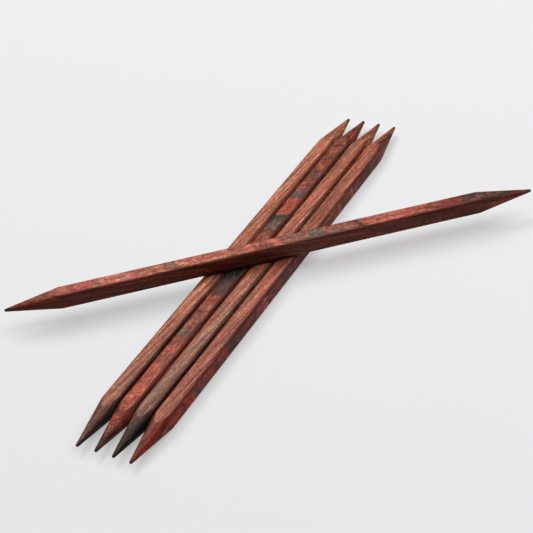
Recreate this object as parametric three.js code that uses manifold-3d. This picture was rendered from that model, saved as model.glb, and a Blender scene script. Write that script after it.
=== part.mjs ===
// Five loose double-pointed knitting needles of laminated wood, each square in section with rounded
// corners. Four lie side by side as a row along Y, and the fifth lies across the top of the row.
//
// Units are millimetres, +Z is up, and the needles of the row stand on z = 0. The origin is the middle
// of the whole set's footprint.

import * as THREE from "three";
import { mergeVertices } from "three/addons/utils/BufferGeometryUtils.js";
import Module from "manifold-3d";

// One needle
const NEEDLE_LENGTH = 200;
const SIDE = 6.4; // across the flats of the square shaft
const CORNER_RADIUS = 1.2;
const POINT_HALF_ANGLE = THREE.MathUtils.degToRad(9.75);
const NOSE_RADIUS = 0.55; // the blunt end of each point

// How the needles lie
const ROW_PITCH = 6.98; // centre to centre, which leaves the row's needles a hair apart
const ROW_CENTRE_X = -5.35;
const ROW_END_OFFSETS = [-0.32, 0.11, 0.32, 0.28]; // how far each is pushed along Y
const ROW_YAWS = [-0.1, 0.05, 0.05, 0].map(THREE.MathUtils.degToRad);
const CROSSING_Y = 5.42;
const CROSSING_YAW = THREE.MathUtils.degToRad(40.5); // from +X towards +Y
const RESTING_GAP = 0.1;

// Fineness of the curved surfaces
const CORNER_STEPS = 5;
const NOSE_STEPS = 4;
const POINT_SIDES = 40;

// The colour that each needle's dyed plies make together
const WOODS = {
  needle_1: 0x7d5642,
  needle_2: 0x7c4138,
  needle_3: 0x83614c,
  needle_4: 0x84564a,
  crossing_needle: 0x7a3f34,
};

/** The square section with rounded corners, centred on the origin. */
function sectionShape() {
  const flat = SIDE / 2 - CORNER_RADIUS; // from the middle of a side to where its corner begins
  const shape = new THREE.Shape();
  for (let corner = 0; corner < 4; corner++) {
    const start = (corner * Math.PI) / 2;
    const middle = start + Math.PI / 4;
    const x = Math.sign(Math.cos(middle)) * flat;
    const y = Math.sign(Math.sin(middle)) * flat;
    shape.absarc(x, y, CORNER_RADIUS, start, start + Math.PI / 2, false);
  }
  return shape;
}

/** The shaft before it is pointed: the section drawn out along Y, from end to end. */
function shaftGeometry() {
  const geometry = new THREE.ExtrudeGeometry(sectionShape(), {
    depth: NEEDLE_LENGTH,
    bevelEnabled: false,
    curveSegments: CORNER_STEPS,
  });
  geometry.translate(0, 0, -NEEDLE_LENGTH / 2);
  geometry.rotateX(Math.PI / 2);
  return geometry;
}

/** The round envelope that points both ends: a nose and a cone at each, and a belly clear of the shaft. */
function envelopeGeometry() {
  const noseCentre = NEEDLE_LENGTH / 2 - NOSE_RADIUS;
  const apex = noseCentre + NOSE_RADIUS / Math.sin(POINT_HALF_ANGLE);
  const bellyRadius = SIDE;
  const shoulder = apex - bellyRadius / Math.tan(POINT_HALF_ANGLE);

  const upperEnd = [new THREE.Vector2(bellyRadius, shoulder)];
  for (let step = 0; step < NOSE_STEPS; step++) {
    const angle = THREE.MathUtils.lerp(POINT_HALF_ANGLE, Math.PI / 2, step / NOSE_STEPS);
    const radius = NOSE_RADIUS * Math.cos(angle);
    upperEnd.push(new THREE.Vector2(radius, noseCentre + NOSE_RADIUS * Math.sin(angle)));
  }
  upperEnd.push(new THREE.Vector2(0, NEEDLE_LENGTH / 2));

  const lowerEnd = upperEnd.map((point) => new THREE.Vector2(point.x, -point.y)).reverse();
  return new THREE.LatheGeometry([...lowerEnd, ...upperEnd], POINT_SIDES);
}

const wasm = await Module();
wasm.setup();

/** A closed three.js geometry as a manifold solid. */
function toSolid(geometry) {
  const bare = geometry.clone();
  bare.deleteAttribute("normal");
  bare.deleteAttribute("uv");
  const merged = mergeVertices(bare);
  const mesh = new wasm.Mesh({
    numProp: 3,
    vertProperties: new Float32Array(merged.getAttribute("position").array),
    triVerts: new Uint32Array(merged.getIndex().array),
  });
  return new wasm.Manifold(mesh);
}

/** A manifold solid as a three.js geometry. */
function toGeometry(solid) {
  const mesh = solid.getMesh();
  const geometry = new THREE.BufferGeometry();
  geometry.setAttribute("position", new THREE.BufferAttribute(mesh.vertProperties, 3));
  geometry.setIndex(new THREE.BufferAttribute(mesh.triVerts, 1));
  geometry.computeVertexNormals();
  return geometry;
}

const needleGeometry = toGeometry(toSolid(shaftGeometry()).intersect(toSolid(envelopeGeometry())));

/** One needle, named, centred on (x, y, z) and turned about the vertical by yaw from lying along Y. */
function needle(name, x, y, z, yaw) {
  const material = new THREE.MeshStandardMaterial({
    color: WOODS[name],
    roughness: 0.4,
    metalness: 0,
  });
  const mesh = new THREE.Mesh(needleGeometry, material);
  mesh.name = name;
  mesh.position.set(x, y, z);
  mesh.rotation.z = yaw;
  return mesh;
}

const needles = new THREE.Group();
ROW_END_OFFSETS.forEach((offset, index) => {
  const x = ROW_CENTRE_X + (index - (ROW_END_OFFSETS.length - 1) / 2) * ROW_PITCH;
  needles.add(needle(`needle_${index + 1}`, x, offset, SIDE / 2, ROW_YAWS[index]));
});
needles.add(
  needle("crossing_needle", 0, CROSSING_Y, SIDE * 1.5 + RESTING_GAP, CROSSING_YAW - Math.PI / 2),
);

export default needles;
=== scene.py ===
"""Five square double-pointed knitting needles of laminated, dyed wood, lying on a pale table.

Lengths are metres. Each needle's wood is described in the needle's own coordinates, in millimetres:
x across it, y along it and z up, from its middle.
"""

import math

import bpy
import numpy as np
from mathutils import Matrix, Vector


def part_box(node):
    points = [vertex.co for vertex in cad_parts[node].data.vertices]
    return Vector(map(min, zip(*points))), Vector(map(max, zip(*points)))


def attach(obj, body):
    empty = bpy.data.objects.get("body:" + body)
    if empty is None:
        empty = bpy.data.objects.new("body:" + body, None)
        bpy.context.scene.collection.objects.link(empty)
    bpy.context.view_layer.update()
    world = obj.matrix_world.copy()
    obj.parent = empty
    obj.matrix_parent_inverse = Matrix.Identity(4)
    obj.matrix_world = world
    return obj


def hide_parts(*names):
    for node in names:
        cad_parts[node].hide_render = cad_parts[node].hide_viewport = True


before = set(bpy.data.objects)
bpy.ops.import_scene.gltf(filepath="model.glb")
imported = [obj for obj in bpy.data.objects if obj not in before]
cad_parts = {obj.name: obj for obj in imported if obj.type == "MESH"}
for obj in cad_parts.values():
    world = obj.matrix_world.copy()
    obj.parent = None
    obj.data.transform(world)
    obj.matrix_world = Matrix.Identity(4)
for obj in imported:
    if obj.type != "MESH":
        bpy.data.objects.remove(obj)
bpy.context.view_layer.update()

MM = 0.001

# One needle, besides the length and thickness that the frame gives
CORNER_RADIUS = 1.2 * MM
POINT_HALF_ANGLE = math.radians(9.75)
POINT_SLOPE = math.tan(POINT_HALF_ANGLE)
NOSE_RADIUS = 0.55 * MM
NOSE_LENGTH = NOSE_RADIUS * (1 - math.sin(POINT_HALF_ANGLE))  # from its end to where the cone begins
NOSE_RIM = NOSE_RADIUS * math.cos(POINT_HALF_ANGLE)  # the radius there
CREASE_SOFTNESS = 0.03 * MM  # where cone and flat are this near each other, their edge is smoothed

# How many steps a needle's mesh takes round each flat and corner, and along each part of its half
FLAT_STEPS = 14
CORNER_STEPS = 12
NOSE_STEPS = 6
CONE_STEPS = 10
CREASE_STEPS = 5
SHAFT_STEPS = 24

# The view
LOOK_AT = Vector((-3.75, 6.0, 0.0)) * MM
CAMERA_DISTANCE = 518.7 * MM
CAMERA_AZIMUTH = math.radians(35.54)
CAMERA_ELEVATION = math.radians(39.27)
CAMERA_ROLL = math.radians(-9.763)
CAMERA_NEAREST = 10 * MM
FIELD_OF_VIEW = math.radians(21.83)

TABLE_REACH = 3.0
TABLE_COLOUR = (0.306, 0.306, 0.314)
TABLE_ROUGHNESS = 0.9
TABLE_SPECULAR = 0.1
# The table glows though it is no lamp: painted light that pales the shadows on it and lights the needles
# from below
TABLE_GLOW = 0.35

# Each square soft light: its place, its width, and its power in watts
LIGHTS = {
    "left": ((-0.64, 0.48, 1.02), 0.52, 6.6),
    "right": ((0.51, 0.45, 0.85), 0.64, 5.0),
    "overhead": ((-0.3, 0.2, 1.55), 1.6, 14.5),
}
WORLD_LIGHT = 0.12
WHITE = (1, 1, 1, 1)

# The wood: plies of dyed veneer, pressed together and cut at a small angle to them
PLY = 0.9  # how thick a ply is, in millimetres
PLY_RISE = 0.0915  # how far the plies climb for each millimetre along a needle
SEED_STEP = 10.0  # between the random numbers of one needle's wood and the next's

DYES = {
    "scarlet": (0.36, 0.074, 0.038),
    "brick": (0.31, 0.068, 0.037),
    "rose": (0.33, 0.098, 0.061),
    "russet": (0.21, 0.056, 0.032),
    "maroon": (0.16, 0.033, 0.024),
    "wine": (0.24, 0.023, 0.013),
    "tan": (0.36, 0.135, 0.073),
    "olive": (0.21, 0.115, 0.072),
    "taupe": (0.21, 0.085, 0.058),
    "ash": (0.115, 0.064, 0.048),
    "umber": (0.085, 0.032, 0.022),
    "coal": (0.040, 0.029, 0.025),
    # black, deeper than coal, is partly painted shade on the near points, where the needles shade one
    # another
    "black": (0.020, 0.013, 0.010),
}
PALE_FIBRE = (1.5, 2.2, 2.3, 1)  # how much paler a fibre is than the ply it lies in
REDDER = (1.16, 0.84, 0.86, 1)  # how a fine streak that took the red dye well differs from its ply
BROWNER = (0.84, 1.16, 1.14, 1)  # and how one that didn't
GLUE = (0.030, 0.017, 0.013, 1)
# Painted shade: the dark red laid along the rounded corners, where the arrises and the gaps between the
# needles lie in shade
PAINTED_CORNER_SHADE = (0.060, 0.012, 0.008, 1)

# Each needle's wood. In banded wood the plies lie flat under the needle's top, and in streaked wood they
# stand on edge there: "through" and "across" point through the plies and across them. "plies" names
# their dyes in order, from the first, which lies "first" millimetres from the needle's middle. Where a
# ply has two dyes, the second has soaked into its last part. The fine layers of a face that cuts the
# plies on edge are too thin to tell apart, so "edge_share" of its colour is its edge tint. The crossing
# needle's near side is such a face, and its dark edge tint is partly painted shade there. A point's
# cone has "cone_lean" times that share.
BANDED = {"through": (-0.03, PLY_RISE, 1), "across": (1, 0, 0.03), "cone_lean": 0.6}
STREAKED = {"through": (-1, PLY_RISE, 0), "across": (0, 0, 1), "cone_lean": 0.3}
WOODS = {
    "needle_1": dict(STREAKED, first=-12.4, edge_share=0.66, edge_tint_and_shade=(0.345, 0.128, 0.073), plies="""
        black coal coal umber ash umber coal maroon tan rose umber tan rose olive tan
        brick rose tan rose olive rose tan tan rose tan rose tan rose russet rose"""),
    # Its sixteenth and seventeenth plies, umber:coal and coal, lie just before the crossing needle: their
    # dark dyes are partly painted shadow of it
    "needle_2": dict(BANDED, first=-12.22, edge_share=0.66, edge_tint_and_shade=(0.18, 0.045, 0.026), plies="""
        umber black black umber umber umber:russet russet:brick brick:scarlet russet:scarlet brick
        brick russet:brick russet:ash russet russet:brick umber:coal coal brick russet ash:coal
        brick ash:russet maroon:ash russet russet russet brick:umber umber brick coal"""),
    "needle_3": dict(STREAKED, first=-12.4, edge_share=0.45, edge_tint_and_shade=(0.30, 0.114, 0.070), plies="""
        black black black black black coal ash olive ash olive rose tan rose olive rose
        russet rose scarlet tan rose tan rose olive rose tan scarlet tan olive rose brick"""),
    "needle_4": dict(STREAKED, first=-12.5, edge_share=0.70, edge_tint_and_shade=(0.34, 0.114, 0.067), plies="""
        wine maroon wine wine:umber maroon:wine maroon:wine umber maroon maroon:brick maroon:russet
        umber maroon maroon russet russet:scarlet maroon:russet maroon umber maroon:russet ash
        russet umber rose russet tan rose olive rose umber rose"""),
    # Its dark edge tint is partly painted shade on its near side
    "crossing_needle": dict(BANDED, first=-12.63, edge_share=0.80, edge_tint_and_shade=(0.105, 0.020, 0.012), plies="""
        wine maroon umber wine maroon russet brick rose russet russet:brick brick:rose rose rose:tan
        tan:taupe rose rose:tan rose:brick russet:rose taupe ash:russet taupe:russet rose
        rose:brick rose:russet maroon umber:ash russet:black maroon maroon umber"""),
}

# The noise in the wood. Its fineness is in cycles per millimetre across the plies, along the needle and
# through the plies, and its detail and harshness say how broken up it is.
PATTERNS = {
    "swell": dict(seed=0, fineness=(0.16, 0.02, 0.1), detail=1.0, harshness=0.5),
    "raggedness": dict(seed=1, fineness=(1.1, 0.25, 0.8), detail=3.0, harshness=0.6),
    "layers": dict(seed=2, fineness=(0.20, 0.03, 1.1), detail=5.0, harshness=0.7),
    "fibres": dict(seed=3, fineness=(1.2, 0.06, 1.5), detail=4.0, harshness=0.65),
    "blotches": dict(seed=4, fineness=(0.75, 0.35, 1.0), detail=3.0, harshness=0.6, swirl=0.8),
    "pores": dict(seed=5, fineness=(3.4, 0.32, 3.4), detail=3.0, harshness=0.65),
    "specks": dict(seed=6, fineness=(3.0, 0.8, 3.0), detail=2.0, harshness=0.6),
    "cuts": dict(seed=7, fineness=(0.45, 0.08, 8.0), detail=3.0, harshness=0.65),
    "soaking": dict(seed=11, fineness=(0.9, 0.5, 0.5), detail=3.0, harshness=0.6),
    "redness": dict(seed=12, fineness=(1.7, 0.25, 1.7), detail=3.0, harshness=0.65),
}
PATTERN_SHIFT = (7.31, 3.17, 5.53)  # how far one seed moves a pattern
SEED_SPACING = 40.0  # between one seed's numbers and the next's, and more than the plies of a needle
TONE_SEED = 0
JOINT_SEED = 9

# How the patterns shade a ply: how far the noise swings from 0.5 before it counts in full, and by how
# much it then darkens or lightens the dye
SHADES = {
    "layers": (0.20, 0.50),
    "cuts": (0.22, 0.46),
    "blotches": (0.22, 0.24),
    "fibres": (0.20, 0.48),
    "specks": (0.22, 0.46),
}
PLY_TONES = (0.86, 1.10)  # the darkest and the lightest ply of one dye
CONE_SHADE = 0.85

# The darker a dye lies, the redder it is, because its green and blue go by these powers of its light
DEEPER_GREEN = 1.25
DEEPER_BLUE = 1.4

# Distances in the wood, in millimetres. The pairs run from where a mark is absent to where it is full.
SWELL = 0.18  # how far pressing has pushed the plies up or down
RAGGEDNESS = 0.16  # how far lifted fibres break their joints
EDGE_BLEND = 0.6  # to either side of a corner, where one face's look turns into the next's
CONE_AT = (0.14, 0.02)  # under the cone that a point is cut to
# Where shade is painted along the corners
PAINTED_SHADE_AT = (2.0, 2.7)  # off the needle's middle both ways at once, which is along its corners
NOSE_STAIN_AT = (3.2, 0.4)  # from the tip

# The same for marks that set in with the noise, or with the share of a ply
SECOND_DYE_AT = (0.58, 0.76)
SECOND_DYE_UNEVENNESS = 0.4
PALE_FIBRE_AT = (0.55, 0.72)
PALE_LAYER_AT = (0.45, 0.65)
REDDER_AT = (0.36, 0.64)
GLUE_AT = (0.09, 0.02)
GLUED_JOINT_AT = (0.2, 1.0)
PORE_AT = (0.60, 0.67)

# How much of the wood under it each mark covers, from 0 to 1
SECOND_DYE_COVER = 0.9
PALE_FIBRE_COVER = 0.4
# How much the painted shade along the corners covers
PAINTED_SHADE_COVER = 0.65
NOSE_STAIN_COVER = 0.75
GLUE_COVER = 0.8
PORE_COVER = 0.6

# The lacquer, which the fibres lift and the pores and joints dent
LACQUER_SPECULAR = 0.22
LACQUER_ROUGHNESS = (0.46, 0.56)
ROUGHER_AT = (0.3, 0.7)
FIBRE_HEIGHT = 0.5
LAYER_HEIGHT = 0.3
DENT_DEPTH = 0.5
BUMP_STRENGTH = 0.6
BUMP_HEIGHT = 0.02 * MM


class Graph:
    """The nodes of one material, and short ways to add them."""

    def __init__(self, material):
        material.use_nodes = True
        self.tree = material.node_tree
        self.shader = self.tree.nodes["Principled BSDF"]

    def feed(self, socket, value):
        """Links a socket to another, or gives it a plain value."""
        if isinstance(value, bpy.types.NodeSocket):
            self.tree.links.new(value, socket)
        else:
            socket.default_value = value

    def node(self, kind, inputs, **settings):
        made = self.tree.nodes.new(kind)
        for name, value in settings.items():
            setattr(made, name, value)
        for name, value in inputs.items():
            self.feed(made.inputs[name], value)
        return made

    def shade(self, inputs):
        """Sets the shader's own inputs."""
        for name, value in inputs.items():
            self.feed(self.shader.inputs[name], value)

    def math(self, operation, *values):
        made = self.node("ShaderNodeMath", dict(enumerate(values)), operation=operation)
        return made.outputs[0]

    def vector_math(self, operation, *values):
        made = self.node("ShaderNodeVectorMath", dict(enumerate(values)), operation=operation)
        return made.outputs["Value" if operation in ("DOT_PRODUCT", "LENGTH") else "Vector"]

    def mix(self, amount, colour, other):
        made = self.node("ShaderNodeMix", {}, data_type="RGBA")
        colour_sockets = [socket for socket in made.inputs if socket.type == "RGBA"]
        for socket, value in zip((made.inputs[0], *colour_sockets), (amount, colour, other)):
            self.feed(socket, value)
        return made.outputs[2]

    def combine(self, x, y, z):
        return self.node("ShaderNodeCombineXYZ", {"X": x, "Y": y, "Z": z}).outputs[0]

    def noise(self, point, needle_seed, seed, fineness, detail, harshness, swirl=0.0):
        """A pattern of noise from 0 to 1 round 0.5."""
        shift = Vector(PATTERN_SHIFT) * (needle_seed + seed)
        moved = self.vector_math("ADD", self.vector_math("MULTIPLY", point, fineness), shift)
        made = self.node("ShaderNodeTexNoise", {
            "Vector": moved, "Scale": 1.0, "Detail": detail, "Roughness": harshness, "Distortion": swirl,
        })
        return made.outputs[0]

    def centred(self, value, reach):
        """A value from 0 to 1 as one from -reach to reach."""
        return self.math("MULTIPLY_ADD", value, 2 * reach, -reach)

    def chance(self, number, seed):
        """A random number from 0 to 1 for each whole number."""
        place = self.math("ADD", number, seed * SEED_SPACING)
        return self.node("ShaderNodeTexWhiteNoise", {"W": place}, noise_dimensions="1D").outputs["Value"]

    def ramp(self, value, low, high, out_low=0.0, out_high=1.0):
        return self.node("ShaderNodeMapRange", {
            "Value": value, "From Min": low, "From Max": high, "To Min": out_low, "To Max": out_high,
        }).outputs[0]


class Spot:
    """Where a spot on a needle's surface lies in its wood, as sockets, with distances in millimetres."""

    def __init__(self, g, wood, seed, half_length):
        place = g.node("ShaderNodeAttribute", {}, attribute_name="wood_mm").outputs["Vector"]
        self.across = g.vector_math("DOT_PRODUCT", place, wood["across"])
        along = g.vector_math("DOT_PRODUCT", place, (0, 1, 0))
        flat_depth = g.vector_math("DOT_PRODUCT", place, wood["through"])
        self.off_middle = g.vector_math("DOT_PRODUCT", place, [round(part) for part in wood["through"]])

        # Pressing leaves the plies wavy, and their joints ragged where the knife lifted the fibres
        flat_point = g.combine(self.across, along, flat_depth)
        swell = g.centred(g.noise(flat_point, seed, **PATTERNS["swell"]), SWELL)
        ragged = g.centred(g.noise(flat_point, seed, **PATTERNS["raggedness"]), RAGGEDNESS)
        depth = g.math("ADD", g.math("ADD", flat_depth, swell), ragged)
        self.point = g.combine(self.across, along, depth)
        self.plies_deep = g.math("DIVIDE", g.math("SUBTRACT", depth, wood["first"]), PLY)

        # How far it is from the nearer tip, and from 0 to 1 whether it is on that point's cone
        radius = g.vector_math("LENGTH", g.vector_math("MULTIPLY", place, (1, 0, 1)))
        self.from_tip = g.math("SUBTRACT", half_length / MM, g.math("ABSOLUTE", along))
        cone_at_tip = (NOSE_RIM - POINT_SLOPE * NOSE_LENGTH) / MM
        cone = g.math("MULTIPLY_ADD", self.from_tip, POINT_SLOPE, cone_at_tip)
        self.on_cone = g.ramp(g.math("SUBTRACT", cone, radius), *CONE_AT)


def stack_colour(g, place, dyes):
    """The colour of the ply at a place from 0 to 1 through the stack."""
    stack = g.node("ShaderNodeValToRGB", {"Fac": place})
    stops = stack.color_ramp.elements
    stack.color_ramp.interpolation = "CONSTANT"
    for number, dye in enumerate(dyes):
        stop = stops[0] if number == 0 else stops.new(number / len(dyes))
        stop.color = (*DYES[dye], 1)
    stops.remove(stops[-1])
    return stack.outputs[0]


def dyed_plies(g, wood, spot, soaking):
    """The plies' colour, where the second dye of a ply has soaked unevenly into its last part."""
    plies = [ply.split(":") for ply in wood["plies"].split()]
    through_stack = g.math("DIVIDE", spot.plies_deep, float(len(plies)))
    first_dyes = stack_colour(g, through_stack, [dyes[0] for dyes in plies])
    last_dyes = stack_colour(g, through_stack, [dyes[-1] for dyes in plies])
    through_ply = g.math("FRACT", spot.plies_deep)
    soaked = g.math("ADD", through_ply, g.centred(soaking, SECOND_DYE_UNEVENNESS))
    return g.mix(g.ramp(soaked, *SECOND_DYE_AT, 0, SECOND_DYE_COVER), first_dyes, last_dyes)


def lean_to_edge_tint_and_shade(g, wood, spot, colour):
    """Leans the colour to one tint on faces that cut the plies on edge; on the crossing's near side it
    paints shade.
    """
    sideways = g.math("SUBTRACT", g.math("ABSOLUTE", spot.across), g.math("ABSOLUTE", spot.off_middle))
    lean = g.ramp(spot.on_cone, 0, 1, wood["edge_share"], wood["cone_lean"] * wood["edge_share"])
    on_edge = g.math("MULTIPLY", g.ramp(sideways, -EDGE_BLEND, EDGE_BLEND), lean)
    return g.mix(on_edge, colour, (*wood["edge_tint_and_shade"], 1))


def grain(g, spot, seed, patterns, colour):
    """Shades each ply: its own tone, fine layers, cuts, blotches and specks, and fibres along it."""
    light = g.ramp(g.chance(g.math("FLOOR", spot.plies_deep), seed + TONE_SEED), 0, 1, *PLY_TONES)
    for name, (swing, depth) in SHADES.items():
        shade = g.ramp(patterns[name], 0.5 - swing, 0.5 + swing, 1 - depth, 1 + depth)
        light = g.math("MULTIPLY", light, shade)
    light = g.math("MULTIPLY", light, g.ramp(spot.on_cone, 0, 1, 1, CONE_SHADE))
    deeper = g.combine(light, g.math("POWER", light, DEEPER_GREEN), g.math("POWER", light, DEEPER_BLUE))
    colour = g.vector_math("MULTIPLY", colour, deeper)

    pale_fibre = g.ramp(patterns["fibres"], *PALE_FIBRE_AT, 0, PALE_FIBRE_COVER)
    pale = g.math("MULTIPLY", pale_fibre, g.ramp(patterns["layers"], *PALE_LAYER_AT))
    colour = g.vector_math("MULTIPLY", colour, g.mix(pale, WHITE, PALE_FIBRE))
    streak = g.mix(g.ramp(patterns["redness"], *REDDER_AT), BROWNER, REDDER)
    return g.vector_math("MULTIPLY", colour, streak)


def painted_corner_shade_and_nose_stain(g, spot, colour):
    """Paints shade dark red along the rounded corners; the noses drank the most finish and are stained dark.
    """
    corner = g.math("MINIMUM", g.math("ABSOLUTE", spot.across), g.math("ABSOLUTE", spot.off_middle))
    # Painted shade along the rounded corners
    colour = g.mix(g.ramp(corner, *PAINTED_SHADE_AT, 0, PAINTED_SHADE_COVER), colour, PAINTED_CORNER_SHADE)
    return g.mix(g.ramp(spot.from_tip, *NOSE_STAIN_AT, 0, NOSE_STAIN_COVER), colour, GLUE)


def glue_lines(g, spot, seed):
    """The glue between two plies is a thin dark line, on some joints darker than on others."""
    joint = g.math("ROUND", spot.plies_deep)
    gap = g.math("ABSOLUTE", g.math("SUBTRACT", spot.plies_deep, joint))
    darkness = g.ramp(g.chance(joint, seed + JOINT_SEED), *GLUED_JOINT_AT, 0, GLUE_COVER)
    return g.math("MULTIPLY", g.ramp(gap, *GLUE_AT), darkness)


def wood_material(node, seed, half_length):
    """Laminated wood, solid all through: the plies are followed wherever the needle's surface cuts them."""
    wood = WOODS[node]
    material = bpy.data.materials.new(node + "_wood")
    g = Graph(material)
    spot = Spot(g, wood, seed, half_length)
    names = (*SHADES, "soaking", "redness", "pores")
    patterns = {name: g.noise(spot.point, seed, **PATTERNS[name]) for name in names}

    colour = dyed_plies(g, wood, spot, patterns["soaking"])
    colour = lean_to_edge_tint_and_shade(g, wood, spot, colour)
    colour = grain(g, spot, seed, patterns, colour)
    colour = painted_corner_shade_and_nose_stain(g, spot, colour)
    glue = glue_lines(g, spot, seed)
    pore = g.ramp(patterns["pores"], *PORE_AT, 0, PORE_COVER)
    colour = g.mix(pore, g.mix(glue, colour, GLUE), GLUE)

    fibre_height = g.math("MULTIPLY", patterns["fibres"], FIBRE_HEIGHT)
    raised = g.math("ADD", fibre_height, g.math("MULTIPLY", patterns["layers"], LAYER_HEIGHT))
    dented = g.math("MULTIPLY", g.math("MAXIMUM", pore, glue), DENT_DEPTH)
    height = g.math("SUBTRACT", raised, dented)
    bump = g.node("ShaderNodeBump", {"Strength": BUMP_STRENGTH, "Distance": BUMP_HEIGHT, "Height": height})
    g.shade({
        "Base Color": colour,
        "Roughness": g.ramp(patterns["fibres"], *ROUGHER_AT, *LACQUER_ROUGHNESS),
        "Specular IOR Level": LACQUER_SPECULAR,
        "Normal": bump.outputs[0],
    })
    return material


def add_object(name, data):
    """Puts an object in the scene."""
    made = bpy.data.objects.new(name, data)
    bpy.context.scene.collection.objects.link(made)
    return made


def steps(start, end, count):
    """Evenly spaced values after start, up to end."""
    return np.linspace(start, end, count + 1)[1:]


def square_radius(angle, half):
    """How far the rounded square's outline is from its centre, at an angle round it."""
    turn = np.abs((angle + math.pi / 4) % (math.pi / 2) - math.pi / 4)
    flat = half - CORNER_RADIUS
    along = flat * (np.cos(turn) + np.sin(turn))
    round_part = along + np.sqrt(np.maximum(along**2 - 2 * flat**2 + CORNER_RADIUS**2, 0))
    return np.where(np.tan(turn) > flat / half, round_part, half / np.cos(turn))


def cone_radius(station):
    """The radius of a point's cone, at a distance from the nose's end."""
    return NOSE_RIM + (station - NOSE_LENGTH) * POINT_SLOPE


def needle_rows(outline, half_length):
    """The rows of a needle's half, nose to middle: each its distance from the nose's end and its radius."""
    crease = NOSE_LENGTH + (outline - NOSE_RIM) / POINT_SLOPE
    reach = CREASE_SOFTNESS / POINT_SLOPE
    rows = []
    for angle in steps(0, math.pi / 2 - POINT_HALF_ANGLE, NOSE_STEPS):
        station = np.full_like(outline, NOSE_RADIUS * (1 - math.cos(angle)))
        rows.append((station, np.full_like(outline, NOSE_RADIUS * math.sin(angle))))
    for share in steps(0, 1, CONE_STEPS):
        station = NOSE_LENGTH + (crease - reach - NOSE_LENGTH) * share
        rows.append((station, cone_radius(station)))
    for share in steps(-1, 1, CREASE_STEPS):
        station = crease + reach * share
        cone = cone_radius(station)
        nearness = np.maximum(1 - np.abs(cone - outline) / CREASE_SOFTNESS, 0)
        rows.append((station, np.minimum(cone, outline) - nearness**2 * CREASE_SOFTNESS / 4))
    for share in steps(0, 1, SHAFT_STEPS):
        rows.append((crease + reach + (half_length - crease - reach) * share, outline))
    return rows


def needle_mesh(name, half, length):
    """A needle along Y round the origin, with rings of vertices from nose to nose."""
    flat_angle = math.atan((half - CORNER_RADIUS) / half)
    quarter = np.concatenate([
        np.linspace(-flat_angle, flat_angle, FLAT_STEPS, endpoint=False),
        np.linspace(flat_angle, math.pi / 2 - flat_angle, CORNER_STEPS, endpoint=False),
    ])
    angles = np.concatenate([quarter + math.pi / 2 * side for side in range(4)])

    half_length = length / 2
    rows = needle_rows(square_radius(angles, half), half_length)
    rings = [(-1, row) for row in rows] + [(1, row) for row in rows[-2::-1]]
    vertices = [(0, -half_length, 0)]
    for side, (station, radius) in rings:
        vertices += zip(radius * np.cos(angles), side * (half_length - station), radius * np.sin(angles))
    vertices.append((0, half_length, 0))

    count = len(angles)
    last = len(vertices) - 1
    neighbours = [(i, (i + 1) % count) for i in range(count)]
    faces = [(0, 1 + j, 1 + i) for i, j in neighbours]
    for start in range(1, last - count, count):
        faces += [(start + i, start + j, start + count + j, start + count + i) for i, j in neighbours]
    faces += [(last, last - count + i, last - count + j) for i, j in neighbours]

    mesh = bpy.data.meshes.new(name)
    mesh.from_pydata(vertices, [], faces)
    wood = mesh.attributes.new("wood_mm", "FLOAT_VECTOR", "POINT")
    wood.data.foreach_set("vector", (np.array(vertices, np.float32) / MM).ravel())
    mesh.shade_smooth()
    return mesh


def add_needle(node, seed):
    """The fine needle that stands for a CAD needle, in the same place."""
    low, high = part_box(node)
    middle = (low + high) / 2
    tip = max((v.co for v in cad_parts[node].data.vertices), key=lambda co: (co - middle).length)
    along = tip - middle if tip.y > middle.y else middle - tip
    mesh = needle_mesh(node + "_wood", (high.z - low.z) / 2, 2 * along.length)
    yaw = math.atan2(-along.x, along.y)
    mesh.transform(Matrix.Translation(middle) @ Matrix.Rotation(yaw, 4, "Z"))
    mesh.materials.append(wood_material(node, seed, along.length))
    piece = add_object(node + "_wood", mesh)
    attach(piece, node)
    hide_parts(node)


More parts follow.
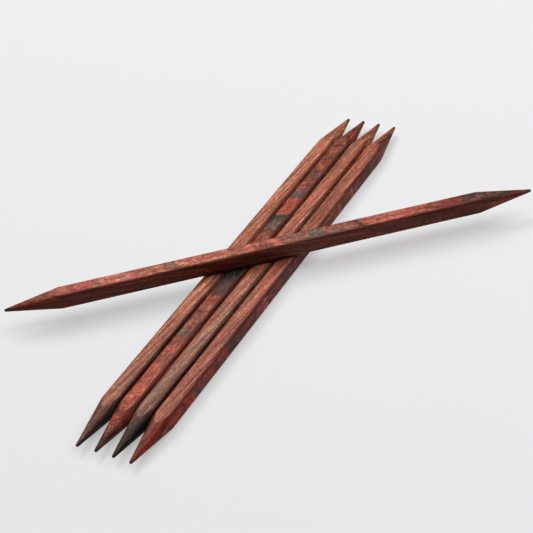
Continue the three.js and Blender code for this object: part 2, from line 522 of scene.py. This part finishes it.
def add_camera():
    """A camera that looks at LOOK_AT from its azimuth and elevation, rolled a little."""
    back = Vector((
        math.sin(CAMERA_AZIMUTH) * math.cos(CAMERA_ELEVATION),
        -math.cos(CAMERA_AZIMUTH) * math.cos(CAMERA_ELEVATION),
        math.sin(CAMERA_ELEVATION),
    ))
    data = bpy.data.cameras.new("camera")
    data.angle = FIELD_OF_VIEW
    data.clip_start = CAMERA_NEAREST
    camera = add_object("camera", data)
    turn = back.to_track_quat("Z", "Y").to_matrix().to_4x4() @ Matrix.Rotation(CAMERA_ROLL, 4, "Z")
    camera.matrix_world = Matrix.Translation(LOOK_AT + back * CAMERA_DISTANCE) @ turn
    bpy.context.scene.camera = camera


def add_floor():
    """A wide pale table under the needles, glowing with painted light that pales its shadows."""
    corners = [(-1, -1), (1, -1), (1, 1), (-1, 1)]
    mesh = bpy.data.meshes.new("floor")
    mesh.from_pydata([(x * TABLE_REACH, y * TABLE_REACH, 0) for x, y in corners], [], [(0, 1, 2, 3)])
    material = bpy.data.materials.new("paper")
    Graph(material).shade({
        "Base Color": (*TABLE_COLOUR, 1),
        "Roughness": TABLE_ROUGHNESS,
        "Specular IOR Level": TABLE_SPECULAR,
        "Emission Color": WHITE,
        "Emission Strength": TABLE_GLOW,
    })
    mesh.materials.append(material)
    add_object("floor", mesh)


def add_light(name, place, width, watts):
    """A square soft light that faces the needles."""
    data = bpy.data.lights.new(name, "AREA")
    data.size = width
    data.energy = watts
    light = add_object(name, data)
    light.location = place
    light.visible_camera = False
    light.rotation_euler = Vector(place).to_track_quat("Z", "Y").to_euler()


def set_world():
    """An even white light all round, and how the scene's light becomes tones."""
    scene = bpy.context.scene
    scene.world = bpy.data.worlds.new("world")
    scene.world.use_nodes = True
    background = scene.world.node_tree.nodes["Background"].inputs
    background["Color"].default_value = WHITE
    background["Strength"].default_value = WORLD_LIGHT
    scene.view_settings.view_transform = "Standard"
    scene.view_settings.look = "Medium High Contrast"


for number, node in enumerate(WOODS, start=1):
    add_needle(node, number * SEED_STEP)
add_camera()
add_floor()
for name, (place, width, watts) in LIGHTS.items():
    add_light(name, place, width, watts)
set_world()
